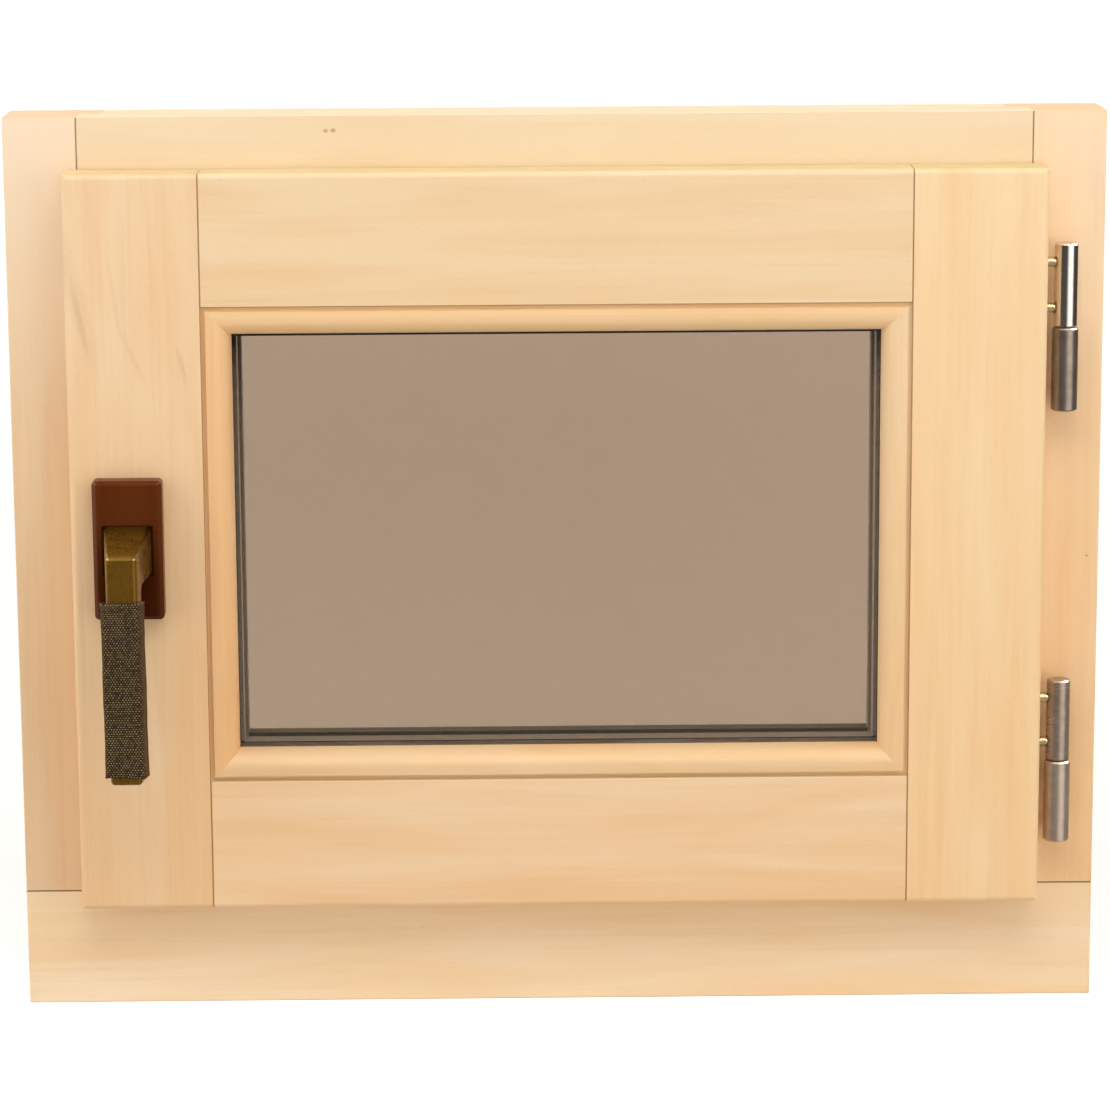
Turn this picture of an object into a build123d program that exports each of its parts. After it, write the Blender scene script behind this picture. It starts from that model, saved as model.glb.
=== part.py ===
import os

from build123d import *

os.makedirs("parts", exist_ok=True)

# Sauna window seen from the room: X to the right, Y into the wall, Z up from the underside of the sill.
# Box frame
frame_width = 600.0
frame_height = 500.0
frame_depth = 45.0
jamb_face = 40.0
head_face = 34.6
sill_face = 65.5
sill_land = 2.5
stop_reach = 12.0
frame_easing = 1.0
joint_chamfer = 0.6

# Sash, lapping the frame all round
lip_lap = 6.4
lip_gap = 1.5
lip_thickness = 23.5
body_gap = 3.0
sash_thickness = 45.0
stile_width = 73.4
top_rail_width = 72.7
bottom_rail_width = 73.4
sash_rounding = 3.2
seal_gap = 3.5
seal_clearance = 0.3
seal_width = 8.0
rebate_lip = 19.5

# Glazing
bead_width = 15.8
bead_depth = 15.0
bead_nose = 3.5
bead_flat = 3.0
quirk_width = 2.4
quirk_depth = 2.2
pane_thickness = 4.0
cavity_depth = 12.0
unit_gap = 4.0
sealant_width = 6.0
spacer_width = 8.0
arris = 0.5

# Screw-in barrel hinges
upper_hinge_drop = 88.1
lower_hinge_rise = 78.8
hinge_offset = 11.1
sash_barrel_radius = 6.5
frame_barrel_radius = 7.2
barrel_length = 46.0
barrel_split = 0.4
barrel_easing = 0.8
pivot_radius = 3.0
pivot_bite = 34.0
pin_radius = 3.0
pin_spacing = 25.0
pin_seat = 2.0
sash_pin_bite = 28.0
jamb_pin_bite = 18.0
running_fit = 0.05

# Turning handle
handle_inset = 32.0
handle_rise = 205.9
rosette_width = 38.0
rosette_height = 77.0
rosette_thickness = 11.0
rosette_corner = 2.5
rosette_bevel = 2.2
neck_clearance = 0.3
neck_width = 25.6
neck_height = 27.5
handle_reach = 42.0
lever_width = 18.6
lever_thickness = 13.0
lever_top = 4.4
lever_length = 121.0
lever_rounding = 1.6
elbow_radius = 3.5
spindle_width = 7.0
spindle_socket = 15.0
spindle_bite = 22.0
spindle_end_room = 3.0
spindle_room = 0.6
sleeve_from_elbow = 2.5
sleeve_from_tip = 5.0
sleeve_wall = 1.4
sleeve_slack = 0.4

# Places that follow from the sizes above
frame_half = frame_width / 2
frame_front = -frame_depth / 2
frame_back = frame_depth / 2
opening_half = frame_half - jamb_face
opening_top = frame_height - head_face
opening_bottom = sill_face + sill_land

sash_half = opening_half + lip_lap
sash_top = opening_top + lip_lap
sash_bottom = opening_bottom - lip_lap
body_half = opening_half - body_gap
body_top = opening_top - body_gap
body_bottom = opening_bottom + body_gap
lip_back = frame_front - lip_gap
sash_front = lip_back - lip_thickness
sash_back = sash_front + sash_thickness
stop_front = sash_back + seal_gap
stop_half = opening_half - stop_reach
stop_top = opening_top - stop_reach
stop_bottom = opening_bottom + stop_reach

aperture_half = sash_half - stile_width
aperture_top = sash_top - top_rail_width
aperture_bottom = sash_bottom + bottom_rail_width
aperture_middle = (aperture_top + aperture_bottom) / 2
lip_half = aperture_half - rebate_lip
lip_top = aperture_top - rebate_lip
lip_bottom = aperture_bottom + rebate_lip
glass_front = sash_front + bead_depth
cavity_front = glass_front + pane_thickness
cavity_back = cavity_front + cavity_depth
glass_back = cavity_back + pane_thickness
unit_width = 2 * (aperture_half - unit_gap)
unit_height = aperture_top - aperture_bottom - 2 * unit_gap

hinge_x = sash_half + hinge_offset
hinge_y = sash_front + lip_thickness / 2
hinge_heights = {"upper": sash_top - upper_hinge_drop, "lower": sash_bottom + lower_hinge_rise}
sash_pin_start = sash_barrel_radius - pin_seat
jamb_pin_start = frame_barrel_radius - pin_seat
sash_pin_length = hinge_offset - sash_pin_start + sash_pin_bite
jamb_pin_length = frame_front + jamb_pin_bite - hinge_y - jamb_pin_start

handle_x = -sash_half + handle_inset
handle_z = sash_bottom + handle_rise
rosette_front = sash_front - rosette_thickness
neck_back = rosette_front - neck_clearance
lever_front = rosette_front - handle_reach
lever_back = lever_front + lever_thickness
lever_tip = handle_z - lever_length
lever_taper = (neck_width - lever_width) / (neck_back - lever_front)
lever_back_width = lever_width + lever_taper * lever_thickness
elbow_height = handle_z - neck_height / 2
sleeve_bottom = lever_tip + sleeve_from_tip
sleeve_top = elbow_height - elbow_radius - sleeve_from_elbow


def facing_room(y):
    """Sketch plane parallel to the glass at depth y, with its normal towards the room."""
    return Plane.XZ.offset(-y)


def edges_at(edges, axis, place):
    return edges.filter_by_position(axis, place - 0.01, place + 0.01)


# Plan of both jambs: a square post with a stop for the sash behind it
with BuildSketch(Plane.XY) as jamb_plans:
    with BuildLine():
        Polyline(
            (-frame_half, frame_front),
            (-opening_half, frame_front),
            (-opening_half, stop_front),
            (-stop_half, stop_front),
            (-stop_half, frame_back),
            (-frame_half, frame_back),
            close=True,
        )
    make_face()
    mirror(about=Plane.YZ)

with BuildPart() as jamb_blank:
    with BuildSketch(Plane.XY.offset(sill_face)):
        add(jamb_plans.sketch.faces().sort_by(Axis.X)[0])
    extrude(amount=frame_height - sill_face)
    upright = jamb_blank.edges().filter_by(Axis.Z)
    fillet(edges_at(edges_at(upright, Axis.X, -frame_half), Axis.Y, frame_front), radius=frame_easing)
    front = edges_at(jamb_blank.edges(), Axis.Y, frame_front)
    joint_edges = edges_at(front, Axis.X, -opening_half) + edges_at(front, Axis.Z, sill_face)
    chamfer(joint_edges, length=joint_chamfer)

with BuildPart() as left_jamb:
    add(jamb_blank.part)

with BuildPart() as right_jamb:
    mirror(jamb_blank.part, about=Plane.YZ)
    with BuildSketch(facing_room(frame_front)):
        for height in hinge_heights.values():
            with Locations((hinge_x, height - barrel_length / 2)):
                with GridLocations(1, pin_spacing, 1, 2):
                    Circle(pin_radius + running_fit)
    extrude(amount=-jamb_pin_bite, mode=Mode.SUBTRACT)

with BuildPart() as head_rail:
    with BuildSketch(Plane.YZ):
        with BuildLine():
            Polyline(
                (frame_front, opening_top),
                (frame_front, frame_height),
                (frame_back, frame_height),
                (frame_back, stop_top),
                (stop_front, stop_top),
                (stop_front, opening_top),
                close=True,
            )
        make_face()
    extrude(amount=opening_half, both=True)
    with BuildSketch(Plane.XY.offset(frame_height)):
        add(jamb_plans.sketch)
    extrude(amount=-frame_height, mode=Mode.SUBTRACT)
    front_ends = edges_at(head_rail.edges(), Axis.Y, frame_front).filter_by(Axis.Z)
    chamfer(front_ends, length=joint_chamfer)

with BuildPart() as sill_rail:
    with BuildSketch(Plane.YZ):
        with BuildLine():
            Polyline(
                (frame_front, 0),
                (frame_front, opening_bottom),
                (stop_front, opening_bottom),
                (stop_front, stop_bottom),
                (frame_back, stop_bottom),
                (frame_back, 0),
                close=True,
            )
        make_face()
    extrude(amount=frame_half, both=True)
    with BuildSketch(Plane.XY.offset(sill_face)):
        add(jamb_plans.sketch)
    extrude(amount=frame_height, mode=Mode.SUBTRACT)
    front = edges_at(sill_rail.edges(), Axis.Y, frame_front)
    fillet(edges_at(front, Axis.Z, 0) + edges_at(front, Axis.X, -frame_half) + edges_at(front, Axis.X, frame_half),
           radius=frame_easing)

# Seal seated on the stop, just clear of the back of the sash
with BuildPart() as frame_gasket:
    with BuildSketch(facing_room(stop_front)):
        with Locations((0, (opening_top + opening_bottom) / 2)):
            Rectangle(2 * stop_half + 2 * seal_width, stop_top - stop_bottom + 2 * seal_width)
            Rectangle(2 * stop_half, stop_top - stop_bottom, mode=Mode.SUBTRACT)
    extrude(amount=seal_gap - seal_clearance)
    fillet(frame_gasket.faces().sort_by(Axis.Y)[0].edges(), radius=(seal_gap - seal_clearance) / 2)

# Plan of both stiles: front lip, body behind it, and a rebate for the glass with a lip at the back
with BuildSketch(Plane.XY) as stile_plans:
    with BuildLine():
        Polyline(
            (-sash_half, sash_front),
            (-aperture_half, sash_front),
            (-aperture_half, glass_back),
            (-lip_half, glass_back),
            (-lip_half, sash_back),
            (-body_half, sash_back),
            (-body_half, lip_back),
            (-sash_half, lip_back),
            close=True,
        )
    make_face()
    mirror(about=Plane.YZ)

with BuildPart() as stile_blank:
    with BuildSketch(Plane.XY.offset(sash_bottom)):
        add(stile_plans.sketch.faces().sort_by(Axis.X)[0])
    extrude(amount=sash_top - sash_bottom)
    # The lip stands past the body at both ends too
    with BuildSketch(Plane.YZ):
        with BuildLine():
            Polyline((lip_back, body_top), (lip_back, sash_top), (sash_back, sash_top), (sash_back, body_top),
                     close=True)
        make_face()
        with BuildLine():
            Polyline((lip_back, body_bottom), (lip_back, sash_bottom), (sash_back, sash_bottom),
                     (sash_back, body_bottom), close=True)
        make_face()
    extrude(amount=-sash_half, mode=Mode.SUBTRACT)
    front = edges_at(stile_blank.edges(), Axis.Y, sash_front)
    fillet(edges_at(front, Axis.X, -sash_half) + front.filter_by(Axis.X), radius=sash_rounding)
    front = edges_at(stile_blank.edges(), Axis.Y, sash_front)
    chamfer(edges_at(front, Axis.X, -aperture_half), length=joint_chamfer)

with BuildPart() as left_stile:
    add(stile_blank.part)
    with BuildSketch(facing_room(sash_front)):
        with Locations((handle_x, handle_z)):
            Circle(spindle_width / 2 ** 0.5 + spindle_room)
    extrude(amount=-(spindle_bite + spindle_end_room), mode=Mode.SUBTRACT)

with BuildPart() as right_stile:
    mirror(stile_blank.part, about=Plane.YZ)
    with BuildSketch(Plane.YZ.offset(sash_half)):
        for height in hinge_heights.values():
            with Locations((hinge_y, height + barrel_length / 2)):
                with GridLocations(1, pin_spacing, 1, 2):
                    Circle(pin_radius + running_fit)
    extrude(amount=-sash_pin_bite, mode=Mode.SUBTRACT)

with BuildPart() as sash_top_rail:
    with BuildSketch(Plane.YZ):
        with BuildLine():
            Polyline(
                (sash_front, aperture_top),
                (sash_front, sash_top),
                (lip_back, sash_top),
                (lip_back, body_top),
                (sash_back, body_top),
                (sash_back, lip_top),
                (glass_back, lip_top),
                (glass_back, aperture_top),
                close=True,
            )
        make_face()
    extrude(amount=aperture_half, both=True)
    with BuildSketch(Plane.XY):
        add(stile_plans.sketch)
    extrude(amount=frame_height, mode=Mode.SUBTRACT)
    front = edges_at(sash_top_rail.edges(), Axis.Y, sash_front)
    fillet(edges_at(front, Axis.Z, sash_top), radius=sash_rounding)
    front = edges_at(sash_top_rail.edges(), Axis.Y, sash_front)
    chamfer(front.filter_by(Axis.Z) + edges_at(front, Axis.Z, aperture_top), length=joint_chamfer)

with BuildPart() as sash_bottom_rail:
    with BuildSketch(Plane.YZ):
        with BuildLine():
            Polyline(
                (sash_front, aperture_bottom),
                (sash_front, sash_bottom),
                (lip_back, sash_bottom),
                (lip_back, body_bottom),
                (sash_back, body_bottom),
                (sash_back, lip_bottom),
                (glass_back, lip_bottom),
                (glass_back, aperture_bottom),
                close=True,
            )
        make_face()
    extrude(amount=aperture_half, both=True)
    with BuildSketch(Plane.XY):
        add(stile_plans.sketch)
    extrude(amount=frame_height, mode=Mode.SUBTRACT)
    front = edges_at(sash_bottom_rail.edges(), Axis.Y, sash_front)
    fillet(edges_at(front, Axis.Z, sash_bottom), radius=sash_rounding)
    front = edges_at(sash_bottom_rail.edges(), Axis.Y, sash_front)
    chamfer(front.filter_by(Axis.Z) + edges_at(front, Axis.Z, aperture_bottom), length=joint_chamfer)


def glazing_bead(side, length):
    """Ovolo bead with a quirk along its outer edge, mitred at both ends.

    The plane's origin is the middle of that side of the rebate on the glass. Its X runs along the side,
    its Y points to the middle of the pane and its Z to the room.
    """
    along, inward = side.x_dir, side.y_dir
    with BuildPart() as bead:
        with BuildSketch(Plane(side.origin - along * (length / 2), x_dir=inward, z_dir=along)):
            with BuildLine():
                round_start = (quirk_width + bead_flat, bead_depth)
                round_end = (bead_width, bead_nose)
                Polyline(
                    round_end,
                    (bead_width, 0),
                    (0, 0),
                    (0, bead_depth - quirk_depth),
                    (quirk_width, bead_depth - quirk_depth),
                    (quirk_width, bead_depth),
                    round_start,
                )
                EllipticalCenterArc(
                    (round_start[0], round_end[1]),
                    round_end[0] - round_start[0],
                    round_start[1] - round_end[1],
                    start_angle=0,
                    arc_size=90,
                )
            make_face()
        extrude(amount=length)
        for end in (-1, 1):
            corner = side.origin + along * (end * length / 2)
            split(bisect_by=Plane(corner, z_dir=-along * end - inward), keep=Keep.TOP)
    return bead


glass_sides = {
    "bead_bottom": ((0, aperture_bottom), (1, 0), 2 * aperture_half),
    "bead_right": ((aperture_half, aperture_middle), (0, 1), aperture_top - aperture_bottom),
    "bead_top": ((0, aperture_top), (-1, 0), 2 * aperture_half),
    "bead_left": ((-aperture_half, aperture_middle), (0, -1), aperture_top - aperture_bottom),
}
beads = {}
for name, ((x, z), (along_x, along_z), length) in glass_sides.items():
    side = Plane((x, glass_front, z), x_dir=(along_x, 0, along_z), z_dir=(0, -1, 0))
    beads[name] = glazing_bead(side, length)


def glass_pane(front):
    with BuildPart() as pane:
        with BuildSketch(facing_room(front + pane_thickness)):
            with Locations((0, aperture_middle)):
                Rectangle(unit_width, unit_height)
        extrude(amount=pane_thickness)
        chamfer(pane.edges().filter_by(Axis.X) + pane.edges().filter_by(Axis.Z), length=arris)
    return pane


room_pane = glass_pane(glass_front)
outer_pane = glass_pane(cavity_back)


def unit_ring(outer_inset, inner_inset):
    """Rectangular ring between the panes, measured in from the edge of the unit."""
    with BuildPart() as ring:
        with BuildSketch(facing_room(cavity_back)):
            with Locations((0, aperture_middle)):
                Rectangle(unit_width - 2 * outer_inset, unit_height - 2 * outer_inset)
                Rectangle(unit_width - 2 * inner_inset, unit_height - 2 * inner_inset, mode=Mode.SUBTRACT)
        extrude(amount=cavity_depth)
    return ring


edge_sealant = unit_ring(0, sealant_width)
spacer_frame = unit_ring(sealant_width, sealant_width + spacer_width)


def hinge_barrel(radius, low, split_height, pin_side):
    """Half of a hinge barrel above height low, bored for its pivot and drilled for two screw pins."""
    with BuildPart() as barrel:
        with BuildSketch(Plane.XY.offset(low)):
            with Locations((hinge_x, hinge_y)):
                Circle(radius)
        extrude(amount=barrel_length - barrel_split / 2)
        chamfer(barrel.edges().filter_by(GeomType.CIRCLE), length=barrel_easing)
        with BuildSketch(Plane.XY.offset(split_height)):
            with Locations((hinge_x, hinge_y)):
                Circle(pivot_radius + running_fit)
        extrude(amount=pivot_bite, both=True, mode=Mode.SUBTRACT)
        with BuildSketch(pin_side):
            with GridLocations(1, pin_spacing, 1, 2):
                Circle(pin_radius + running_fit)
        extrude(amount=radius, mode=Mode.SUBTRACT)
    return barrel


def screw_pins(pin_side, length):
    """Two pins, from their seats in the barrel wall to their full depth in the wood."""
    with BuildPart() as pins:
        with BuildSketch(pin_side):
            with GridLocations(1, pin_spacing, 1, 2):
                Circle(pin_radius)
        extrude(amount=length)
        chamfer(pins.edges().filter_by(GeomType.CIRCLE), length=arris)
    return pins


def pivot_pin(split_height):
    with BuildPart() as pivot:
        with BuildSketch(Plane.XY.offset(split_height)):
            with Locations((hinge_x, hinge_y)):
                Circle(pivot_radius)
        extrude(amount=pivot_bite, both=True)
        chamfer(pivot.edges().filter_by(GeomType.CIRCLE), length=arris)
    return pivot


hinge_pieces = {}
for hinge, height in hinge_heights.items():
    upper_middle = height + barrel_length / 2
    lower_middle = height - barrel_length / 2
    sash_side = Plane((hinge_x - sash_pin_start, hinge_y, upper_middle), x_dir=(0, 1, 0), z_dir=(-1, 0, 0))
    jamb_side = Plane((hinge_x, hinge_y + jamb_pin_start, lower_middle), x_dir=(1, 0, 0), z_dir=(0, 1, 0))
    hinge_pieces[hinge + "_hinge_sash_barrel"] = hinge_barrel(
        sash_barrel_radius, height + barrel_split / 2, height, sash_side)
    hinge_pieces[hinge + "_hinge_frame_barrel"] = hinge_barrel(
        frame_barrel_radius, height - barrel_length, height, jamb_side)
    hinge_pieces[hinge + "_hinge_sash_pins"] = screw_pins(sash_side, sash_pin_length)
    hinge_pieces[hinge + "_hinge_frame_pins"] = screw_pins(jamb_side, jamb_pin_length)
    hinge_pieces[hinge + "_hinge_pivot"] = pivot_pin(height)

with BuildPart() as handle_rosette:
    with BuildSketch(facing_room(sash_front)):
        with Locations((handle_x, handle_z)):
            RectangleRounded(rosette_width, rosette_height, rosette_corner)
    extrude(amount=rosette_thickness)
    chamfer(handle_rosette.faces().sort_by(Axis.Y)[0].edges(), length=rosette_bevel)
    with BuildSketch(facing_room(sash_front)):
        with Locations((handle_x, handle_z)):
            Circle(spindle_width / 2 ** 0.5 + spindle_room)
    extrude(amount=rosette_thickness, mode=Mode.SUBTRACT)

# Cast lever: its side view, narrowed towards the room by its plan
with BuildPart() as handle_lever:
    with BuildSketch(Plane.YZ.offset(handle_x)):
        with BuildLine():
            Polyline(
                (lever_back, elbow_height),
                (neck_back, elbow_height),
                (neck_back, handle_z + neck_height / 2),
                (lever_front, handle_z + lever_top),
                (lever_front, lever_tip),
                (lever_back, lever_tip),
                close=True,
            )
        make_face()
    extrude(amount=neck_width, both=True)
    with BuildSketch(Plane.XY.offset(lever_tip)):
        with BuildLine():
            Polyline(
                (handle_x - neck_width / 2, neck_back),
                (handle_x + neck_width / 2, neck_back),
                (handle_x + lever_width / 2, lever_front),
                (handle_x - lever_width / 2, lever_front),
                close=True,
            )
        make_face()
    extrude(amount=2 * lever_length, mode=Mode.INTERSECT)
    across = handle_lever.edges().filter_by(Axis.X)
    fillet(edges_at(edges_at(across, Axis.Y, lever_back), Axis.Z, elbow_height), radius=elbow_radius)
    outer = handle_lever.edges() - edges_at(handle_lever.edges(), Axis.Y, neck_back)
    fillet(outer, radius=lever_rounding)
    with BuildSketch(facing_room(neck_back)):
        with Locations((handle_x, handle_z)):
            Rectangle(spindle_width + 2 * running_fit, spindle_width + 2 * running_fit)
    extrude(amount=spindle_socket, mode=Mode.SUBTRACT)

with BuildPart() as handle_spindle:
    with BuildSketch(facing_room(sash_front + spindle_bite)):
        with Locations((handle_x, handle_z)):
            Rectangle(spindle_width, spindle_width)
    extrude(amount=sash_front + spindle_bite - neck_back + spindle_socket)
    chamfer(handle_spindle.faces().sort_by(Axis.Y)[-1].edges(), length=arris)

# Webbing sleeve pulled over the lever, open at both ends
with BuildPart() as lever_sleeve:
    with BuildSketch(Plane.XY.offset(sleeve_bottom)):
        with Locations((handle_x, (lever_front + lever_back) / 2)):
            inner_width = lever_back_width + 2 * sleeve_slack
            inner_depth = lever_thickness + 2 * sleeve_slack
            RectangleRounded(inner_width + 2 * sleeve_wall, inner_depth + 2 * sleeve_wall,
                             lever_rounding + sleeve_wall)
            RectangleRounded(inner_width, inner_depth, lever_rounding, mode=Mode.SUBTRACT)
    extrude(amount=sleeve_top - sleeve_bottom)

pieces = {
    "left_jamb": left_jamb,
    "right_jamb": right_jamb,
    "head_rail": head_rail,
    "sill_rail": sill_rail,
    "frame_gasket": frame_gasket,
    "left_stile": left_stile,
    "right_stile": right_stile,
    "sash_top_rail": sash_top_rail,
    "sash_bottom_rail": sash_bottom_rail,
    **beads,
    "room_pane": room_pane,
    "outer_pane": outer_pane,
    "edge_sealant": edge_sealant,
    "spacer_frame": spacer_frame,
    **hinge_pieces,
    "handle_rosette": handle_rosette,
    "handle_lever": handle_lever,
    "handle_spindle": handle_spindle,
    "lever_sleeve": lever_sleeve,
}
for name, piece in pieces.items():
    piece.part.label = name
    export_step(piece.part, f"parts/{name}.step")
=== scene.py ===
import math

import bmesh
import bpy
from mathutils import Matrix, Vector


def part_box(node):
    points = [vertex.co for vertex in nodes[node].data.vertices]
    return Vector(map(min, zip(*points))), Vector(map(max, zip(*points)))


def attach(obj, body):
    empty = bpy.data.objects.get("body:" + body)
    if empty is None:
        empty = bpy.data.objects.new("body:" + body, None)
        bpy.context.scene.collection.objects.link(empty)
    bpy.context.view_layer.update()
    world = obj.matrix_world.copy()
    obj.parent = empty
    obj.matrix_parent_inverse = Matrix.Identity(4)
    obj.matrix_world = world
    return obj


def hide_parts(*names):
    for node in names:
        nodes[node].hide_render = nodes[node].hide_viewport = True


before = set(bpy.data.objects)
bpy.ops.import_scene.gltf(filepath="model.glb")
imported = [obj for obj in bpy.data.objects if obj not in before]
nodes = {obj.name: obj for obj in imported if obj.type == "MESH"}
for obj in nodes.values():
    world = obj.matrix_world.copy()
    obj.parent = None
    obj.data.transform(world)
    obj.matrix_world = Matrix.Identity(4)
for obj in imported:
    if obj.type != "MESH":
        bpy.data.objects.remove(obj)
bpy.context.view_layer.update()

print("frame loaded:", len(nodes), "nodes")


# Camera: fitted to the edges of the frame and the sash in a square picture of 1110 pixels
view = {"place": (-0.02398, -2.24919, 0.70921), "pitch": 11.5, "yaw": 0.5797, "roll": -0.3466,
        "focal": 4100.8, "picture": 1110, "sensor": 36.0, "farthest": 60}


def makeCamera():
    camera = bpy.data.cameras.new("camera")
    camera.sensor_width = view["sensor"]
    camera.lens = view["focal"] / view["picture"] * view["sensor"]
    camera.clip_end = view["farthest"]
    holder = bpy.data.objects.new("camera", camera)
    bpy.context.scene.collection.objects.link(holder)
    turn = (Matrix.Rotation(math.radians(-view["yaw"]), 4, "Z")
            @ Matrix.Rotation(math.radians(90 - view["pitch"]), 4, "X")
            @ Matrix.Rotation(math.radians(view["roll"]), 4, "Z"))
    holder.matrix_world = Matrix.Translation(view["place"]) @ turn
    bpy.context.scene.camera = holder


makeCamera()
print("camera placed")


# Shader maths: a socket that can be added, multiplied and so on
class Link:
    def __init__(self, tree, socket):
        self.tree, self.socket = tree, socket

    def maths(self, operation, *values):
        return self.tree.add("ShaderNodeMath", {"operation": operation}, dict(enumerate(values)))

    def __add__(self, other):
        return self.maths("ADD", self, other)

    def __sub__(self, other):
        return self.maths("SUBTRACT", self, other)

    def __rsub__(self, other):
        return self.maths("SUBTRACT", other, self)

    def __mul__(self, other):
        return self.maths("MULTIPLY", self, other)

    def __truediv__(self, other):
        return self.maths("DIVIDE", self, other)

    def __rtruediv__(self, other):
        return self.maths("DIVIDE", other, self)

    def __pow__(self, other):
        return self.maths("POWER", self, other)

    def __rpow__(self, other):
        return self.maths("POWER", other, self)

    def __abs__(self):
        return self.maths("ABSOLUTE", self)

    __radd__ = __add__
    __rmul__ = __mul__

    def sine(self):
        return self.maths("SINE", self)

    def floor(self):
        return self.maths("FLOOR", self)

    def most(self, other):
        return self.maths("MAXIMUM", self, other)

    def ramp(self, low, high, start=0.0, end=1.0):       # straight from start at low to end at high
        return self.tree.add("ShaderNodeMapRange", {"clamp": True}, {0: self, 1: low, 2: high, 3: start, 4: end})


# A node tree and what is made in it
class Tree:
    def __init__(self, tree):
        self.tree = tree

    def add(self, kind, settings=None, sockets=None, output=0):
        node = self.tree.nodes.new(kind)
        for name, value in (settings or {}).items():
            setattr(node, name, value)
        for place, value in (sockets or {}).items():
            self.plug(node.inputs[place], value)
        return Link(self, node.outputs[output])

    def plug(self, socket, value):
        if isinstance(value, Link):
            self.tree.links.new(value.socket, socket)
        else:
            socket.default_value = value

    def parts(self, vector):
        first = self.add("ShaderNodeSeparateXYZ", None, {0: vector})
        return [Link(self, output) for output in first.socket.node.outputs]

    def stretch(self, vector, scale, shift=(0, 0, 0)):
        return self.add("ShaderNodeMapping", None, {0: vector, 1: shift, 3: scale})

    def noise(self, vector, scale=1.0, detail=3.0, rough=0.5, bend=0.0):
        return self.add("ShaderNodeTexNoise", None, {0: vector, 2: scale, 3: detail, 4: rough, "Distortion": bend})

    def blend(self, amount, first, second, way="MIX"):
        return self.add("ShaderNodeMix", {"data_type": "RGBA", "blend_type": way}, {0: amount, 6: first, 7: second}, 2)


# One finish: a Principled shader with its node tree
class Finish(Tree):
    def __init__(self, name, **fixed):
        self.material = bpy.data.materials.new(name)
        self.material.use_nodes = True
        super().__init__(self.material.node_tree)
        self.shader = self.tree.nodes["Principled BSDF"]
        for socket, value in fixed.items():
            self.shader.inputs[socket.replace("_", " ")].default_value = value

    def feed(self, socket, value):
        self.plug(self.shader.inputs[socket], value)

    def place(self):                                     # metres in the object's own frame
        return self.add("ShaderNodeTexCoord", output=3)

    def facing(self):                                    # which way the surface looks
        return self.add("ShaderNodeTexCoord", output=1)

    def bump(self, height, strength, depth):
        sockets = {"Height": height, "Strength": strength, "Distance": depth}
        self.feed("Normal", self.add("ShaderNodeBump", None, sockets))


def paint(name, material):
    mesh = nodes[name].data
    mesh.materials.clear()
    mesh.materials.append(material)


def addPiece(name, mesh, material, body):
    data = bpy.data.meshes.new(name)
    mesh.to_mesh(data)
    mesh.free()
    data.shade_smooth()
    data.materials.append(material)
    piece = bpy.data.objects.new(name, data)
    bpy.context.scene.collection.objects.link(piece)
    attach(piece, body)
    return piece


# Lime wood: pale, with broad soft bands, faint year rings, fine streaks along the grain and tiny flecks
lime = {"pale": (0.90, 0.68, 0.44, 1), "warm": (0.84, 0.55, 0.285, 1), "streak": (0.72, 0.42, 0.19, 1),
        "fleck": (0.50, 0.28, 0.12, 1), "end": (0.74, 0.43, 0.21, 1), "joint": (0.30, 0.17, 0.065, 1),
        "paintedTopLightColour": (0.93, 0.77, 0.58, 1), "topFaceShade": (0.64, 0.50, 0.24, 1),
        "lip": (0.92, 0.88, 0.82, 1), "lipPaintedShade": (0.085, 0.08, 0.05, 1),
        # Width, and length in widths, of each part of the pattern, and its share in the tone
        "band": (0.022, 9), "ring": (0.0075, 40), "fibre": (0.0011, 55), "speck": (0.0005, 7),
        "bandShare": 0.85, "ringShare": 0.31, "fibreShare": 0.16, "lift": 0.075, "toneRange": (0.48, 1.02),
        "paintedTopLightTone": (0.05, 0.5, 0.14, -0.16),            # painted light: the boards are a little paler near the head and darker low down, as the light falls from above
        "streakRange": (0.56, 0.72), "streaks": 0.09, "fleckRange": (0.67, 0.76), "flecks": 0.16,
        "paintedTopLightRange": (0.34, 0.5), "poreScale": 900, "relief": (0.10, 0.0004),
        "jointWidth": 0.00042, "jointDark": 0.8, "roomSide": (-0.0205, -0.0215),
        "lipMiddle": 0.267, "lipHalf": (0.1760, 0.1150), "blur": 0.0002}


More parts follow.
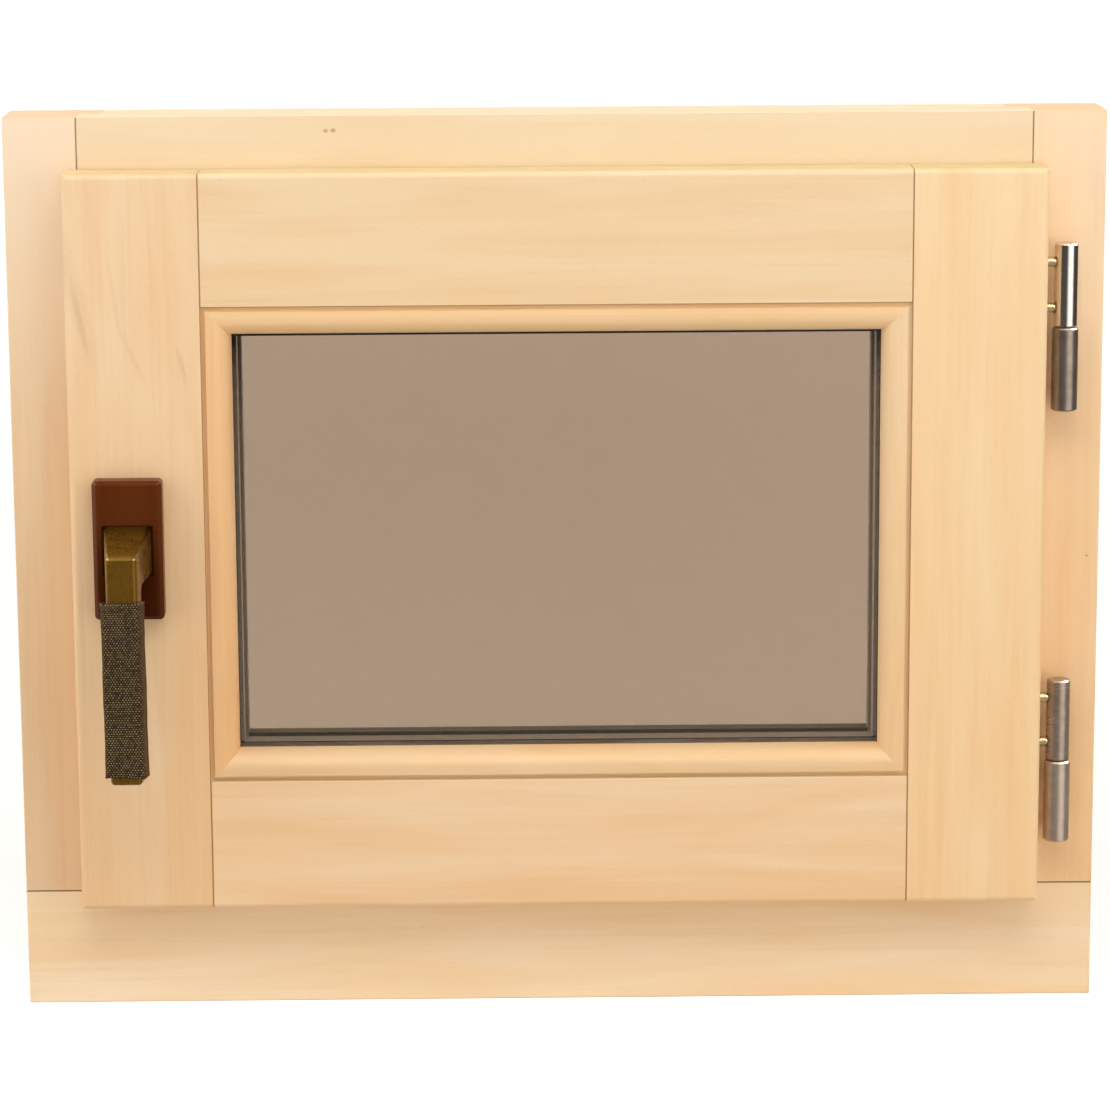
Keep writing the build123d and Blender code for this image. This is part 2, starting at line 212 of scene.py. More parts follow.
def limeWood(name, grain, seed, tint, paintedTopLightShare=0.0, joints=(), knots=()):
    wood = Finish(name, IOR=1.45)
    along = {"x": 0, "z": 2}[grain]
    here = wood.place()
    x, y, z = wood.parts(here)
    shift = (seed * 1.7, seed * 0.9, seed * 2.3)         # each member is cut from its own place in the pattern

    def grained(size, detail, rough=0.5, bend=0.0):
        width, times = lime[size]
        scale = [1 / width] * 3
        scale[along] = 1 / (width * times)
        return wood.noise(wood.stretch(here, scale, shift), 1.0, detail, rough, bend)

    bands = grained("band", 2.0, 0.5, 0.8)
    rings = grained("ring", 3.0, 0.55, 1.6)
    fibre = grained("fibre", 2.0, 0.6)
    specks = grained("speck", 1.0)
    # The tone carries painted light: paler towards the head, darker low down
    tone = (bands * lime["bandShare"] + rings * lime["ringShare"] + fibre * lime["fibreShare"]
            + z.ramp(*lime["paintedTopLightTone"]) + lime["lift"])
    colour = wood.blend(tone.ramp(*lime["toneRange"]), lime["pale"], lime["warm"])
    colour = wood.blend(rings.ramp(*lime["streakRange"]) * lime["streaks"], colour, lime["streak"])
    colour = wood.blend(specks.ramp(*lime["fleckRange"]) * lime["flecks"], colour, lime["fleck"])
    colour = wood.blend(1.0, colour, (*tint, 1), "MULTIPLY")
    # Painted light: the upper part of the jambs and head is paled towards a lighter colour, as the light falls from
    # above
    colour = wood.blend(z.ramp(*lime["paintedTopLightRange"]) * paintedTopLightShare, colour, lime["paintedTopLightColour"])
    for knotX, knotZ, wide, tall, strength, lean in knots:
        across = x - knotX + (z - knotZ) * lean
        apart = (across / wide) ** 2 + ((z - knotZ) / tall) ** 2 + (fibre - 0.5)
        colour = wood.blend(apart.ramp(1.3, 0.0) * strength, colour, lime["fleck"])
    roomSide = y.ramp(*lime["roomSide"])
    for axis, spot in joints:
        apart = abs({"x": x, "z": z}[axis] - spot)
        line = apart.ramp(lime["jointWidth"] * 1.3, lime["jointWidth"] * 0.6) * roomSide
        colour = wood.blend(line * lime["jointDark"], colour, lime["joint"])
    facing = wood.parts(wood.facing())
    pores = wood.noise(here, lime["poreScale"], 1.0, 0.5)
    colour = wood.blend(abs(facing[along]).ramp(0.85, 0.97) * (pores * 0.5 + 0.35), colour, lime["end"])
    if "stile" in name or "sash" in name:
        # Painted shade: the faces that look up on the stiles and sash rails are darkened towards olive, for the shade
        # on the sash's top face
        colour = wood.blend(facing[2].ramp(0.93, 0.99) * 0.9, colour, lime["topFaceShade"])
        halfWide, halfTall = lime["lipHalf"]             # the lip behind the glass
        behind = abs(x).ramp(halfWide + lime["blur"], halfWide - lime["blur"])
        behind = behind * abs(z - lime["lipMiddle"]).ramp(halfTall + lime["blur"], halfTall - lime["blur"])
        # Painted light and shade on the lip behind the glass: near black on the bottom rail's lip for the shade it lies
        # in, pale grey on the other lips for the light they show
        colour = wood.blend(behind, colour, lime["lipPaintedShade"] if name.endswith("bottom_rail") else lime["lip"])
    wood.feed("Base Color", colour)
    wood.feed("Roughness", fibre * 0.14 + 0.46)
    wood.bump(fibre * 0.6 + specks * 0.4, *lime["relief"])
    return wood.material


# Grain, seed, tint, the share of painted top light that pales the upper part, the joint lines that each member shares
# with its neighbours, and knots:
# the place of each, its half width and half height, its strength and how far it leans
apertureX, apertureLow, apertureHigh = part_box("bead_right")[1][0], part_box("bead_bottom")[0][2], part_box("bead_top")[1][2]
jambX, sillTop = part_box("head_rail")[1][0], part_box("left_jamb")[0][2]
sides = (("x", -apertureX), ("x", apertureX))
jambs = (("x", -jambX), ("x", jambX))
headKnots = ((-0.1245, 0.4919, 0.0016, 0.0011, 0.8, 0), (-0.1205, 0.4921, 0.0017, 0.0013, 0.85, 0))
jambSpeck = ((0.2935, 0.2535, 0.0010, 0.0007, 0.7, 0),)
stileStreaks = ((-0.2590, 0.402, 0.0055, 0.040, 0.13, 0.20), (-0.2583, 0.3935, 0.0020, 0.021, 0.22, 0.20),
                (-0.2395, 0.405, 0.0017, 0.022, 0.12, 0.13), (-0.2300, 0.372, 0.0020, 0.018, 0.13, 0.43),
                (-0.2037, 0.368, 0.0018, 0.011, 0.20, 0.25))
woodMembers = {
    "left_jamb": ("z", 1, (0.921, 0.938, 0.986), 0.9, jambs + (("z", sillTop),)),
    "right_jamb": ("z", 2, (1.02, 1.01, 0.98), 0.45, jambs + (("z", sillTop),), jambSpeck),
    "head_rail": ("x", 3, (0.931, 1.0, 1.018), 0.4, jambs, headKnots),
    "sill_rail": ("x", 4, (1.075, 1.20, 1.38), 0.0, (("z", sillTop),)),
    "left_stile": ("z", 5, (0.97, 0.959, 0.95), 0.0, sides, stileStreaks),
    "right_stile": ("z", 6, (1.02, 1.02, 0.963), 0.0, sides),
    "sash_top_rail": ("x", 7, (0.951, 0.97, 0.956), 0.0, sides + (("z", apertureHigh),)),
    "sash_bottom_rail": ("x", 8, (1.0, 1.02, 1.07), 0.0, sides + (("z", apertureLow),)),
    "bead_top": ("x", 9, (1.0, 0.93, 0.80), 0.0),
    "bead_bottom": ("x", 10, (0.91, 0.89, 0.84), 0.0),
    "bead_left": ("z", 11, (0.95, 0.819, 0.671), 0.0),
    "bead_right": ("z", 12, (0.98, 0.985, 0.96), 0.0),
}
for name, member in woodMembers.items():
    paint(name, limeWood("lime_" + name, *member))
print("wood finished")


# Glazing: a bronze pane to the room, a clear one behind, and a dull spacer with a black seal between
glazing = {"tint": (0.418, 0.310, 0.228, 1), "tintShadow": (0.97, 0.95, 0.92, 1), "clear": (0.95, 0.97, 0.96, 1),
           "spacer": (0.95, 0.94, 0.90, 1), "spacerDull": (0.74, 0.72, 0.66, 1), "spacerTopShade": (0.50, 0.52, 0.49, 1),
           "seal": (0.012, 0.010, 0.008, 1), "rubber": (0.030, 0.028, 0.026, 1), "rubberWorn": (0.07, 0.065, 0.06, 1),
           "spacerWidth": 0.008, "lowLine": 0.0005, "sideLine": 0.002, "blur": 0.0001}


def glass(name, colour, letThrough):
    pane = Finish(name, Roughness=0.0, IOR=1.5, Transmission_Weight=1.0, Base_Color=colour)
    through = pane.add("ShaderNodeBsdfTransparent", None, {0: letThrough})
    shadow = pane.add("ShaderNodeLightPath", output=1)
    surface = pane.add("ShaderNodeMixShader", None, {0: shadow, 1: Link(pane, pane.shader.outputs[0]), 2: through})
    out = pane.tree.nodes["Material Output"]
    pane.tree.links.new(surface.socket, out.inputs[0])
    return pane.material


def spacerMetal():
    strip = Finish("spacer_metal", Metallic=0.2)
    here = strip.place()
    x, z = strip.parts(here)[::2]
    facing = strip.parts(strip.facing())
    low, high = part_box("spacer_frame")
    side = abs(x) - ((high[0] - low[0]) / 2 - glazing["spacerWidth"])        # how far out from the strip's inner edge
    below = low[2] + glazing["spacerWidth"] - z
    rolled = strip.noise(strip.stretch(here, (300, 4000, 300)), 1.0, 2.0)
    colour = strip.blend(rolled * 0.5, glazing["spacer"], glazing["spacerDull"])
    # Painted shade: the spacer's faces that look up are darkened
    colour = strip.blend(facing[2].ramp(0.8, 0.95), colour, glazing["spacerTopShade"])
    blur = glazing["blur"]
    bond = below.ramp(-2 * blur, 0.0) * below.ramp(glazing["lowLine"] + blur, glazing["lowLine"] - blur)
    bond = bond.most(side.ramp(glazing["sideLine"] - blur, glazing["sideLine"] + blur))
    bond = bond * abs(facing[1]).ramp(0.8, 0.95)         # dark lines of sealant, only towards the panes
    strip.feed("Base Color", strip.blend(bond, colour, glazing["seal"]))
    strip.feed("Roughness", rolled * 0.2 + 0.35)
    return strip.material


def rubber(name, colour, grainSize):
    seal = Finish(name)
    grain = seal.noise(seal.place(), 1 / grainSize, 3.0)
    seal.feed("Base Color", seal.blend(grain * 0.5, colour, glazing["rubberWorn"]))
    seal.feed("Roughness", grain * 0.2 + 0.6)
    seal.bump(grain, 0.2, 0.0002)
    return seal.material


paint("room_pane", glass("tinted_glass", glazing["tint"], glazing["tintShadow"]))
paint("outer_pane", glass("clear_glass", glazing["clear"], glazing["clear"]))
paint("spacer_frame", spacerMetal())
paint("edge_sealant", rubber("unit_sealant", glazing["seal"], 0.002))
paint("frame_gasket", rubber("seal_rubber", glazing["rubber"], 0.001))
print("glazing finished")


# Hinges: turned barrels, the sash half polished and the frame half ring-brushed, on threaded pins
# Hue, worn hue, metalness, roughness and depth of the turning marks, for the sash barrel and the frame barrel
hinge = {"upper": (("polished_nickel", (0.82, 0.74, 0.65, 1), (0.64, 0.54, 0.46, 1), 1.0, 0.10, 0.02),
                   ("brushed_nickel", (0.38, 0.31, 0.25, 1), (0.22, 0.165, 0.12, 1), 0.9, 0.22, 0.10)),
         # Painted reflection: the lower barrels take their own hues, the sash half darker and the frame half lighter
         # than the upper ones, for the different reflections the lower hinge shows
         "lower": (("worn_nickel", (0.46, 0.365, 0.285, 1), (0.30, 0.22, 0.16, 1), 0.8, 0.20, 0.01),
                   ("satin_nickel", (0.56, 0.45, 0.355, 1), (0.40, 0.30, 0.225, 1), 0.8, 0.22, 0.02)),
         "ringScale": (40, 40, 5200), "smearScale": 160, "pin": (0.66, 0.50, 0.26, 1), "pinDark": (0.20, 0.12, 0.04, 1),
         "grimeScale": 700, "pitch": 0.0016, "threadDepth": 0.0008, "turnSteps": 20}


def nickel(name, colour, worn, metalness, roughness, ringDepth):
    metal = Finish(name, Metallic=metalness)
    here = metal.place()
    rings = metal.noise(metal.stretch(here, hinge["ringScale"]), 1.0, 2.0)
    smears = metal.noise(here, hinge["smearScale"], 3.0)
    metal.feed("Base Color", metal.blend(smears.ramp(0.35, 0.75) * 0.6 + rings * 0.3, colour, worn))
    metal.feed("Roughness", rings * 0.1 + smears * 0.06 + roughness)
    metal.bump(rings, ringDepth, 0.0002)
    return metal.material


# A thread's side view, wound round the axis of each of the two pins
def threadedPins(node, along):
    low, high = (Vector(corner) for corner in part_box(node))
    size = high - low
    radius = size[1 - along] / 2
    axis = Vector((-1, 0, 0)) if along == 0 else Vector((0, 1, 0))
    climb = axis * (hinge["pitch"] / hinge["turnSteps"])
    mesh = bmesh.new()
    for level in (low.z + radius, high.z - radius):
        start = (low + high) / 2 - axis * size[along] / 2
        start.z = level
        teeth = int(size[along] / hinge["pitch"]) - 1
        points = []
        for i in range(2 * teeth + 1):
            reach = radius - (i % 2) * hinge["threadDepth"]
            points.append(mesh.verts.new(start + axis * (i * hinge["pitch"] / 2) + Vector((0, 0, reach))))
        edges = [mesh.edges.new(pair) for pair in zip(points, points[1:])]
        bmesh.ops.spin(mesh, geom=points + edges, cent=start, axis=axis, dvec=climb, angle=math.tau,
                       steps=hinge["turnSteps"], use_merge=False)
    bmesh.ops.remove_doubles(mesh, verts=mesh.verts, dist=1e-6)
    bmesh.ops.holes_fill(mesh, edges=[edge for edge in mesh.edges if edge.is_boundary], sides=0)
    bmesh.ops.recalc_face_normals(mesh, faces=mesh.faces)
    return mesh


def pinMetal():
    metal = Finish("hinge_pins", Metallic=1.0)
    grime = metal.noise(metal.place(), hinge["grimeScale"], 3.0)
    metal.feed("Base Color", metal.blend(grime.ramp(0.4, 0.7) * 0.6, hinge["pin"], hinge["pinDark"]))
    metal.feed("Roughness", grime * 0.2 + 0.2)
    return metal.material


pinFinish = pinMetal()
for level in ("upper", "lower"):
    sashMetal, frameMetal = (nickel(*look) for look in hinge[level])
    paint(f"{level}_hinge_sash_barrel", sashMetal)
    paint(f"{level}_hinge_frame_barrel", frameMetal)
    paint(f"{level}_hinge_pivot", frameMetal)
    for kind, along in (("sash_pins", 0), ("frame_pins", 1)):
        piece = addPiece(f"{level}_threaded_{kind}", threadedPins(f"{level}_hinge_{kind}", along), pinFinish,
                         "window")
        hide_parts(f"{level}_hinge_{kind}")
print("hinges finished")


# Handle: glossy brown plate, bronze lever, steel spindle
handle = {"sheen": (1.0, 0.50, 0.22, 1), "plate": (0.095, 0.020, 0.004, 1), "plateMottleAndEdgeLight": (0.13, 0.040, 0.010, 1),
          "plateShadeColour": (0.032, 0.0055, 0.0012, 1), "gap": (0.008, 0.003, 0.001, 1),
          "bronze": (0.136, 0.064, 0.004, 1), "bronzeLight": (0.23, 0.118, 0.014, 1), "steel": (0.5, 0.5, 0.48, 1),
          "cloudScale": (60, 60, 30), "brushScale": (900, 900, 30), "drawnScale": (3000, 60, 3000),
          "shadeFrom": 0.025, "shadeTo": 0.02, "paintedEdgeLight": (0.0145, 0.0185),
          "neckAcross": (0.0143, 0.0136), "neckUp": (0.0144, 0.0138)}


def brownPlate():
    plate = Finish("rosette_brown", IOR=1.22, Specular_Tint=handle["sheen"])
    here = plate.place()
    clouds = plate.noise(plate.stretch(here, handle["cloudScale"]), 1.0, 4.0, 0.6)
    low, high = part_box("handle_rosette")
    x, z = plate.parts(here)[::2]
    across, up = abs(x - (low[0] + high[0]) / 2), abs(z - (low[2] + high[2]) / 2)
    colour = plate.blend(clouds.ramp(0.35, 0.8) * 0.6, handle["plate"], handle["plateMottleAndEdgeLight"])
    # Painted shade: the plate darkens towards the bottom, for the shadow of the lever and sleeve
    shade = z.ramp(high[2] - handle["shadeFrom"], low[2] + handle["shadeTo"])
    colour = plate.blend(shade * 0.8, colour, handle["plateShadeColour"])
    # Painted light: the left and right edges of the plate are lighter, for the side lamps lighting the bevels
    colour = plate.blend(across.ramp(*handle["paintedEdgeLight"]) * 0.5, colour, handle["plateMottleAndEdgeLight"])
    neckShade = across.ramp(*handle["neckAcross"]) * up.ramp(*handle["neckUp"])        # painted shade round the neck, where it stands on the plate
    plate.feed("Base Color", plate.blend(neckShade, colour, handle["gap"]))
    plate.feed("Roughness", clouds * 0.25 + 0.18)
    plate.bump(plate.noise(here, 220, 2.0), 0.05, 0.0005)
    return plate.material


def bronzeLever():
    metal = Finish("bronze_lever", Metallic=0.45, Specular_IOR_Level=0.2)
    here = metal.place()
    brushed = metal.noise(metal.stretch(here, handle["brushScale"]), 1.0, 2.0)
    clouds = metal.noise(here, 120, 3.0)
    metal.feed("Base Color", metal.blend(clouds * 0.35 + brushed * 0.4, handle["bronze"], handle["bronzeLight"]))
    metal.feed("Roughness", clouds * 0.1 + brushed * 0.06 + 0.2)
    metal.bump(clouds, 0.03, 0.0002)
    return metal.material


def drawnSteel():
    steel = Finish("spindle_steel", Metallic=1.0, Base_Color=handle["steel"])
    lines = steel.noise(steel.stretch(steel.place(), handle["drawnScale"]), 1.0, 2.0)
    steel.feed("Roughness", lines * 0.25 + 0.3)
    steel.bump(lines, 0.1, 0.0002)
    return steel.material


# Cast lever: its side view drawn across, narrowed towards the room and rounded
lever = {"back": -0.0875, "elbow": 0.25375, "frontTop": 0.2719, "front": 16.6 / 25.6, "elbowRounding": 0.0035,
         "rounding": 0.0021, "roundSteps": 4, "sideways": 0.006, "near": 1e-5}


def makeLever():
    low, high = (Vector(corner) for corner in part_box("handle_lever"))
    middle = (low.x + high.x) / 2
    side = [(lever["back"], lever["elbow"]), (high.y, lever["elbow"]), (high.y, high.z), (low.y, lever["frontTop"]),
            (low.y, low.z), (lever["back"], low.z)]
    mesh = bmesh.new()
    corners = [mesh.verts.new((low.x, y, z)) for y, z in side]
    loop = [mesh.edges.new(pair) for pair in zip(corners, corners[1:] + corners[:1])]
    face = bmesh.ops.edgeloop_fill(mesh, edges=loop)["faces"]
    pulled = bmesh.ops.extrude_face_region(mesh, geom=face)["geom"]
    farSide = [item for item in pulled if isinstance(item, bmesh.types.BMVert)]
    bmesh.ops.translate(mesh, vec=(high.x - low.x, 0, 0), verts=farSide)
    for vert in mesh.verts:
        share = (vert.co.y - low.y) / (high.y - low.y)
        vert.co.x = middle + (vert.co.x - middle) * (lever["front"] + (1 - lever["front"]) * share)

    def touching(test):
        return [edge for edge in mesh.edges if all(test(vert.co) for vert in edge.verts)]

    def rounded(edges, offset):
        bmesh.ops.bevel(mesh, geom=edges, offset=offset, offset_type="OFFSET", segments=lever["roundSteps"],
                        profile=0.5, affect="EDGES", material=-1, clamp_overlap=True)

    near = lever["near"]
    rounded(touching(lambda co: abs(co.z - lever["elbow"]) < near and abs(co.y - lever["back"]) < near),
            lever["elbowRounding"])
    atBack = touching(lambda co: abs(co.y - high.y) < near)          # the foot on the plate stays sharp
    atTip = touching(lambda co: co.z < low.z + near)
    atTop = touching(lambda co: co.y < low.y + near and co.z > lever["frontTop"] - near)
    alongSides = [edge for edge in mesh.edges if abs(edge.verts[0].co.x - edge.verts[1].co.x) < lever["sideways"]]
    chosen = set(alongSides + atTip + atTop) - set(atBack)
    rounded([edge for edge in mesh.edges if edge in chosen], lever["rounding"])
    bmesh.ops.recalc_face_normals(mesh, faces=mesh.faces)
    return mesh


paint("handle_rosette", brownPlate())
paint("handle_spindle", drawnSteel())
leverPiece = addPiece("cast_lever", makeLever(), bronzeLever(), "handle")
leverPiece.modifiers.new("normals", "WEIGHTED_NORMAL")
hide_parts("handle_lever")


# Webbing sleeve pulled over the lever: one strip, folded round it, with open and slightly flared ends
sleeve = {"width": 0.0211, "depth": 0.0152, "corner": 0.00234, "cornerSteps": 5, "cuts": 9, "rows": 64, "wall": 0.0014,
          "taper": 0.12, "aside": (-0.0004, -0.0009), "half": 0.0115,
          "flare": 0.0003, "flareTop": 0.93, "flareLow": 0.05, "flareAcross": 0.008, "flareDeep": 0.005,
          "earFrom": 0.90, "ear": 0.0009, "dip": 0.0006, "shearTop": 0.0022, "shearLow": 0.0030, "shearFrom": 0.12,
          "hem": 0.0005, "hemFrom": 0.06, "hemWaves": 260, "slack": (0.00012, 13, 150), "ripple": (0.00005, 41),
          "threadAcross": 0.0016, "threadAlong": 0.00125, "frayed": 0.0012,
          "yarn": (0.040, 0.023, 0.009, 1), "yarnGrey": (0.038, 0.026, 0.014, 1), "speck": (0.31, 0.24, 0.13, 1),
          "gap": (0.014, 0.008, 0.003, 1), "sideFaceTone": (0.10, 0.045, 0.02, 1)}


def nearEnd(share, start, end):                          # 0 before start, 1 at the end, straight between
    return max(0.0, (share - start) / (end - start))


def sleeveOutline(mesh, middle, low):
    bmesh.ops.create_grid(mesh, x_segments=1, y_segments=1, size=0.5)
    bmesh.ops.delete(mesh, geom=mesh.faces[:], context="FACES_ONLY")
    bmesh.ops.scale(mesh, vec=(sleeve["width"], sleeve["depth"], 1), verts=mesh.verts)
    bmesh.ops.bevel(mesh, geom=mesh.verts[:], offset=sleeve["corner"], offset_type="OFFSET",
                    segments=sleeve["cornerSteps"], profile=0.5, affect="VERTICES", material=-1)
    longEdges = [edge for edge in mesh.edges if edge.calc_length() > sleeve["corner"]]
    bmesh.ops.subdivide_edges(mesh, edges=longEdges, cuts=sleeve["cuts"])
    bmesh.ops.translate(mesh, vec=(middle.x, middle.y, low.z), verts=mesh.verts)


# How far round each vertex of the outline lies from the middle of the back, and the whole girth
def walkRound(mesh, middle):
    around = mesh.verts.layers.float.new("around")
    start = vert = min(mesh.verts, key=lambda v: (v.co.x - middle.x) ** 2 - v.co.y)
    previous, walked = None, 0.0
    while True:
        vert[around] = walked
        following = next(edge.other_vert(vert) for edge in vert.link_edges if edge.other_vert(vert) is not previous)
        walked += (following.co - vert.co).length
        previous, vert = vert, following
        if vert is start:
            return around, walked


def makeSleeve():
    low, high = (Vector(corner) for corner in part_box("lever_sleeve"))
    middle = (low + high) / 2
    tall = high.z - low.z
    mesh = bmesh.new()
    sleeveOutline(mesh, middle, low)
    around, girth = walkRound(mesh, middle)
    ring = mesh.edges[:]
    for _ in range(sleeve["rows"]):
        made = bmesh.ops.extrude_edge_only(mesh, edges=ring)["geom"]
        verts = [item for item in made if isinstance(item, bmesh.types.BMVert)]
        ring = [item for item in made if isinstance(item, bmesh.types.BMEdge)]
        ring = [edge for edge in ring if edge.verts[0] in verts and edge.verts[1] in verts]
        bmesh.ops.translate(mesh, vec=(0, 0, tall / sleeve["rows"]), verts=verts)
    bmesh.ops.recalc_face_normals(mesh, faces=mesh.faces)
    cloth = mesh.loops.layers.uv.new("cloth")
    for face in mesh.faces:
        spread = [loop.vert[around] for loop in face.loops]
        wraps = max(spread) - min(spread) > girth / 2
        for loop, value in zip(face.loops, spread):
            loop[cloth].uv = (value + (girth if wraps and value < girth / 2 else 0), loop.vert.co.z - low.z)
    slack, slackWaves, slackLean = sleeve["slack"]
    ripple, rippleWaves = sleeve["ripple"]
    for vert in mesh.verts:
        share = (vert.co.z - low.z) / tall
        offX, offY = vert.co.x - middle.x, vert.co.y - middle.y
        sideX, sideY = math.copysign(1, offX), math.copysign(1, offY)
        # Wider at the back, and pushed a little to the left
        vert.co.x += offX * sleeve["taper"] * offY / sleeve["depth"]
        vert.co.x += sleeve["aside"][0] * (1 - share) + sleeve["aside"][1] * share
        # Flared ends and a little slack
        flare = nearEnd(share, sleeve["flareTop"], 1) ** 1.5 + 0.6 * nearEnd(share, sleeve["flareLow"], 0) ** 1.5
        flare *= sleeve["flare"]
        wave = slack * math.sin(share * slackWaves + offX * slackLean) + ripple * math.sin(share * rippleWaves)
        vert.co.x += sideX * flare * min(1, abs(offX) / sleeve["flareAcross"]) + wave
        vert.co.y += sideY * 0.5 * flare * min(1, abs(offY) / sleeve["flareDeep"])
        # A raised ear at the upper right, both ends cut lower at the back, and a wavy hem
        lift = nearEnd(share, sleeve["earFrom"], 1) ** 2
        vert.co.z += lift * (sleeve["ear"] * max(0.0, offX / sleeve["half"]) ** 3 - sleeve["dip"])
        behind = offY / sleeve["depth"] + 0.5
        vert.co.z -= behind * (sleeve["shearTop"] * lift + sleeve["shearLow"] * nearEnd(share, sleeve["shearFrom"], 0))
        hem = math.sin(vert[around] * sleeve["hemWaves"]) - 0.6 * abs(offX) / sleeve["half"]
        vert.co.z += nearEnd(share, sleeve["hemFrom"], 0) * sleeve["hem"] * hem
    return mesh, girth, tall


def webbing():
    cloth = Finish("woven_webbing", Roughness=0.95, Specular_IOR_Level=0.1)
    flat = cloth.add("ShaderNodeUVMap", {"uv_map": "cloth"})
    u, v = cloth.parts(flat)[:2]
    rows = v / sleeve["threadAlong"]
    row = rows.floor()
    columns = u / sleeve["threadAcross"] + row * 0.5     # every row is shifted by half a thread
    cell = cloth.add("ShaderNodeCombineXYZ", None, {0: columns.floor(), 1: row})
    chance = cloth.add("ShaderNodeTexWhiteNoise", {"noise_dimensions": "3D"}, {0: cell})
    knot = abs((columns * math.pi).sine()) * abs((rows * math.pi).sine())
    blotch = cloth.noise(cloth.stretch(flat, (90, 60, 1)), 1.0, 3.0)
    colour = cloth.blend(blotch.ramp(0.3, 0.7), sleeve["yarn"], sleeve["yarnGrey"])
    colour = cloth.blend(chance.ramp(0.1, 0.7, 0.25, 1.0) * knot.ramp(0.45, 0.85) * 0.9, colour, sleeve["speck"])
    colour = cloth.blend(knot.ramp(0.4, 0.08) * 0.85, colour, sleeve["gap"])
    sideways = abs(cloth.parts(cloth.facing())[0])
    # Faces that look sideways turn lighter and browner
    colour = cloth.blend(sideways.ramp(0.4, 0.9) * 0.5, colour, sleeve["sideFaceTone"])
    loose = cloth.noise(cloth.stretch(flat, (2500, 700, 1)), 1.0, 1.0).ramp(0.5, 0.6)
    colour = cloth.blend(v.ramp(sleeveTop - sleeve["frayed"], sleeveTop) * loose * 0.6, colour, sleeve["speck"])
    cloth.feed("Base Color", colour)
    cloth.bump(knot + chance * 0.25, 0.7, 0.0005)
    return cloth.material


sleeveMesh, sleeveAround, sleeveTop = makeSleeve()
sleevePiece = addPiece("webbing_sleeve", sleeveMesh, webbing(), "handle")
wall = sleevePiece.modifiers.new("wall", "SOLIDIFY")
wall.thickness = sleeve["wall"]
wall.offset = 0.0
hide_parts("lever_sleeve")
print("handle finished")


# White floor and backdrop, with softboxes. Metal mirrors two bright walls, a ceiling and a high band of lamps, each
# with the angles or heights between which it comes up and goes down
studio = {"floor": 60.0, "white": (0.82, 0.82, 0.82, 1), "glow": (0.5, 3.0, 0.53, 0.80),
          "fill": 0.36, "fillColour": (1.0, 0.90, 0.80, 1), "dark": 0.05, "walls": 1.7,
          "rightWall": ((0.02, 0.44), (1.22, 0.98)), "leftWall": ((-2.4, -2.2), (-1.08, -1.20)),
          "ceiling": 1.0, "ceilingUp": (0.50, 0.70), "high": 13.0, "highBand": ((0.45, 0.55), (0.88, 0.80)),
          "highAside": (0.20, 0.35), "table": 0.33, "tableDown": (-0.17, -0.25), "tableCovers": 0.68,
          "lamps": {"top": ((0.0, -1.05, 1.75), (0, 0, 0.36), (1.7, 0.9), 17.0, (1.0, 0.98, 0.96)),
                    "right": ((1.60, -1.20, 0.55), (0.05, 0, 0.24), (1.9, 1.4), 13.0, (1.0, 0.97, 0.93)),
                    "left": ((-1.62, -0.62, 0.62), (-0.1, 0, 0.28), (1.3, 1.2), 9.0, (1.0, 0.97, 0.93))}}


def rayKinds(tree):
    paths = tree.add("ShaderNodeLightPath")
    return {output.name: Link(tree, output) for output in paths.socket.node.outputs}


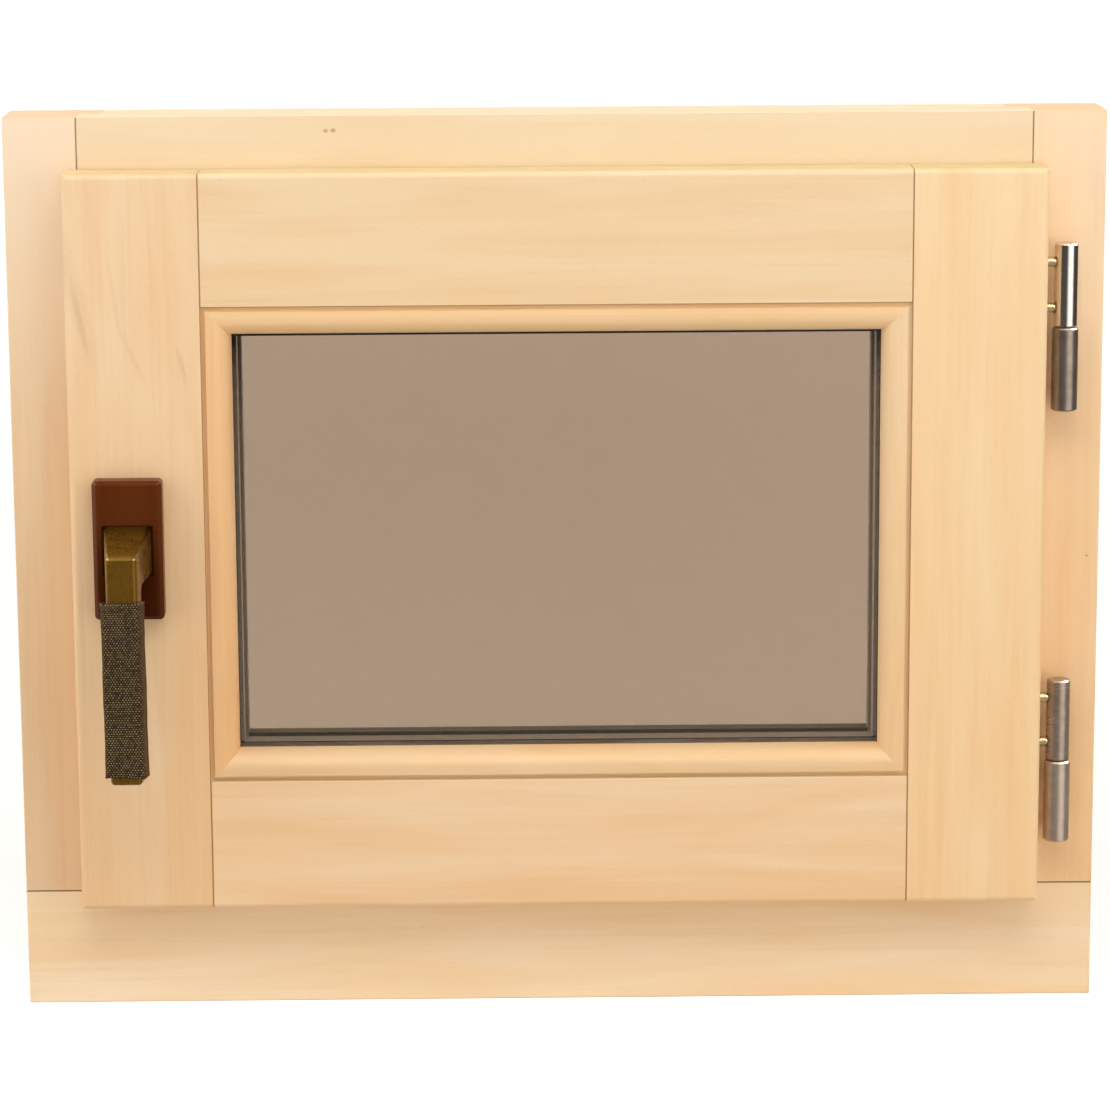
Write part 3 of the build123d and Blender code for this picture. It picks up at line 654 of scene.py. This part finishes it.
def makeFloor():
    mesh = bmesh.new()
    bmesh.ops.create_grid(mesh, x_segments=1, y_segments=1, size=studio["floor"] / 2)
    data = bpy.data.meshes.new("floor")
    mesh.to_mesh(data)
    mesh.free()
    floor = bpy.data.objects.new("floor", data)
    bpy.context.scene.collection.objects.link(floor)
    paper = Finish("floor_paper", Base_Color=studio["white"], Roughness=1.0, Specular_IOR_Level=0.0,
                   Emission_Strength=1.0)
    rays = rayKinds(paper)
    shown = rays["Is Camera Ray"].most(rays["Is Transmission Ray"])
    away = paper.add("ShaderNodeVectorMath", {"operation": "LENGTH"}, {0: paper.place()}, 1)
    glow = shown * away.ramp(*studio["glow"])
    paper.feed("Emission Color", paper.add("ShaderNodeCombineColor", None, {i: glow for i in range(3)}))
    data.materials.append(paper.material)
    floor.visible_glossy = False


# The camera sees white, metal sees the studio's walls and lamps, and the rest is an even fill
def lightWorld():
    world = bpy.data.worlds.new("studio")
    bpy.context.scene.world = world
    world.use_nodes = True
    sky = Tree(world.node_tree)
    rays = rayKinds(sky)
    x, y, z = sky.parts(sky.add("ShaderNodeTexCoord"))
    azimuth = x.maths("ARCTAN2", x, 0 - y)

    def between(value, edges):
        up, down = edges
        return value.ramp(*up) * value.ramp(*down)

    walls = between(azimuth, studio["rightWall"]).most(between(azimuth, studio["leftWall"]))
    lamps = between(z, studio["highBand"]) * abs(x).ramp(*studio["highAside"])
    lit = (walls * studio["walls"] + z.ramp(*studio["ceilingUp"]) * studio["ceiling"] + lamps * studio["high"]
           + studio["dark"])
    below = z.ramp(*studio["tableDown"])                 # the white table takes over from the room
    room = lit * (1 - below * studio["tableCovers"]) + below * studio["table"]
    white = rays["Is Camera Ray"].most(rays["Is Transmission Ray"])
    glossy = rays["Is Glossy Ray"]
    level = white + (1 - white) * (glossy * room + (1 - glossy) * studio["fill"])
    background = world.node_tree.nodes["Background"]
    tinted = (1 - white) * (1 - glossy)
    sky.plug(background.inputs[0], sky.blend(tinted, (1, 1, 1, 1), studio["fillColour"]))
    sky.plug(background.inputs[1], level)


def lamp(name, place, aim, size, power, colour):
    data = bpy.data.lights.new(name, "AREA")
    data.shape = "RECTANGLE"
    data.size, data.size_y = size
    data.energy = power
    data.color = colour
    holder = bpy.data.objects.new(name, data)
    bpy.context.scene.collection.objects.link(holder)
    holder.visible_glossy = False
    direction = Vector(aim) - Vector(place)
    holder.matrix_world = Matrix.Translation(place) @ direction.to_track_quat("-Z", "Y").to_matrix().to_4x4()


makeFloor()
lightWorld()
for name, settings in studio["lamps"].items():
    lamp(name, *settings)
bpy.context.scene.view_settings.view_transform = "Standard"
print("studio lit")
